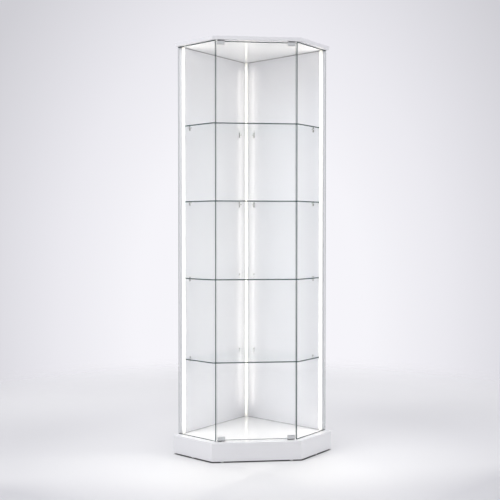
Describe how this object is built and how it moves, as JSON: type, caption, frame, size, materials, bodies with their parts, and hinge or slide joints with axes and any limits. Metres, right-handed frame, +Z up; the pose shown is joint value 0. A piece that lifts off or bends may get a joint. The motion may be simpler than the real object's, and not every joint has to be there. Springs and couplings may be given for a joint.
{
  "type": "corner curio cabinet",
  "caption": "Tall glass corner cabinet with angled glass sides, gloss white back walls, lit glass shelves, a hinged glass front door and a box plinth.",
  "frame": {"origin": "middle of the bounding box, at floor level", "axes": "+Z up, +Y towards the corner of the room, the door faces -Y, +X to the right seen from the front"},
  "size_m": [0.7, 0.5092, 1.8],
  "materials": {
    "gloss_white_board": "gloss white laminate on particle board",
    "bare_wood": "plain softwood and beech",
    "zinc_screw": "zinc plated",
    "cam_metal": "die-cast zinc",
    "clamp_metal": "satin",
    "clear_glass": "clear float glass, ground edges",
    "white_plastic": "moulded",
    "soft_pad": "clear soft plastic",
    "magnet_metal": "nickel plated",
    "support_metal": "bright nickel",
    "light_channel": "white lacquered",
    "opal_cover": "opal, glowing when lit",
    "light_tape": "white flexible board",
    "cap_plastic": "white",
    "lead_sheath": "white",
    "box_plastic": "black"
  },
  "bodies": {
    "cabinet": {"plinth_front": "gloss_white_board", "plinth_left": "gloss_white_board", "plinth_right": "gloss_white_board", "plinth_back_left": "gloss_white_board", "plinth_back_right": "gloss_white_board", "floor_board": "gloss_white_board", "back_wall_left": "gloss_white_board", "back_wall_right": "gloss_white_board", "top_board": "gloss_white_board", "floor_cleat_front": "bare_wood", "floor_cleats_side": "bare_wood", "floor_cleats_back": "bare_wood", "wall_dowels": "bare_wood", "cleat_screws": "zinc_screw", "corner_screws": "zinc_screw", "distributor_screws": "zinc_screw", "cam_bolts": "zinc_screw", "cam_housings": "cam_metal", "side_glass_left": "clear_glass", "side_glass_right": "clear_glass", "glass_shelf_1": "clear_glass", "glass_shelf_2": "clear_glass", "glass_shelf_3": "clear_glass", "glass_shelf_4": "clear_glass", "glides": "white_plastic", "shelf_pads": "soft_pad", "glass_tape_left": "soft_pad", "glass_tape_right": "soft_pad", "catch_magnets": "magnet_metal", "shelf_supports_1": "support_metal", "shelf_supports_2": "support_metal", "shelf_supports_3": "support_metal", "shelf_supports_4": "support_metal", "led_channel_left": "light_channel", "led_channel_right": "light_channel", "led_channel_corner": "light_channel", "led_cover_left": "opal_cover", "led_cover_right": "opal_cover", "led_cover_corner": "opal_cover", "led_tape_left": "light_tape", "led_tape_right": "light_tape", "led_tape_corner": "light_tape", "led_end_caps": "cap_plastic", "led_leads": "lead_sheath", "led_distributor": "box_plastic", "power_socket": "box_plastic", "hinge_bush_top": "box_plastic", "hinge_bush_bottom": "box_plastic", "magnetic_catch_top": "box_plastic", "magnetic_catch_bottom": "box_plastic"},
    "door": {"door_glass": "clear_glass", "clamp_pads": "soft_pad", "hinge_clamp_top": "clamp_metal", "hinge_clamp_bottom": "clamp_metal", "strike_clamp_top": "clamp_metal", "strike_clamp_bottom": "clamp_metal", "clamp_screws": "clamp_metal", "hinge_pin_top": "clamp_metal", "hinge_pin_bottom": "clamp_metal"}
  },
  "joints": [
    {"name": "door_swing", "type": "hinge", "parent": "cabinet", "child": "door", "pos_m": [-0.15533, -0.22512, 0.9], "axis": [0, 0, -1], "range_deg": [0, 110]}
  ]
}
